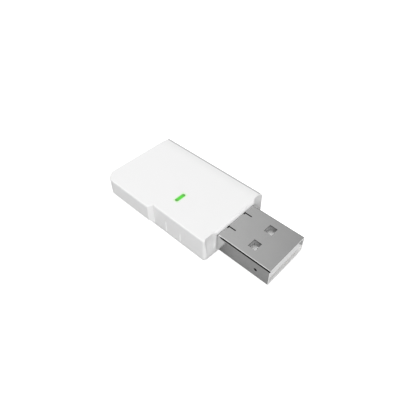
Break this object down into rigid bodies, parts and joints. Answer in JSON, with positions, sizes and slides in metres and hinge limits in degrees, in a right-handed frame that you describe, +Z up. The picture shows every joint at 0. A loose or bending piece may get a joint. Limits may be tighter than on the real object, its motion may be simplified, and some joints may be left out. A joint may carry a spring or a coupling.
{
  "type": "usb bluetooth gateway",
  "caption": "Small flat radio gateway in a pale housing with a raised grip along one side, a lit indicator slot and a type A plug at the front.",
  "frame": {"origin": "centre of the housing's flat underside", "axes": "+X towards the plug's tip, +Z up, -Y the long side with the grip"},
  "size_m": [0.0443, 0.0207, 0.0066],
  "materials": {
    "cover_plastic": "fine satin white moulding",
    "indicator_light": "clear green, lit from below",
    "board_laminate": "green solder mask",
    "plug_steel": "plated sheet steel",
    "insulator_plastic": "white moulding",
    "contact_metal": "gold plated",
    "lamp_plastic": "clear resin",
    "shield_metal": "tinned sheet",
    "solder": "smooth solder",
    "fuse_body": "dark green body",
    "chip_plastic": "black moulding",
    "capacitor_ceramic": "fired ceramic"
  },
  "bodies": {
    "root": {"upper_cover": "cover_plastic", "lower_cover": "cover_plastic", "light_guide": "indicator_light", "circuit_board": "board_laminate", "plug_shell": "plug_steel", "plug_insulator": "insulator_plastic", "power_contact": "contact_metal", "data_minus_contact": "contact_metal", "data_plus_contact": "contact_metal", "ground_contact": "contact_metal", "indicator_led": "lamp_plastic", "radio_module_board": "board_laminate", "radio_shield": "shield_metal", "antenna_trace": "contact_metal", "module_solder_joints": "solder", "plug_solder_joints": "solder", "resettable_fuse": "fuse_body", "ferrite_bead": "chip_plastic", "input_capacitors": "capacitor_ceramic", "series_resistors": "chip_plastic", "decoupling_capacitors": "capacitor_ceramic", "antenna_matching_parts": "capacitor_ceramic", "voltage_regulator": "chip_plastic", "surge_protector": "chip_plastic", "radio_chip": "chip_plastic", "clock_crystal": "shield_metal", "flash_memory": "chip_plastic"}
  },
  "joints": []
}
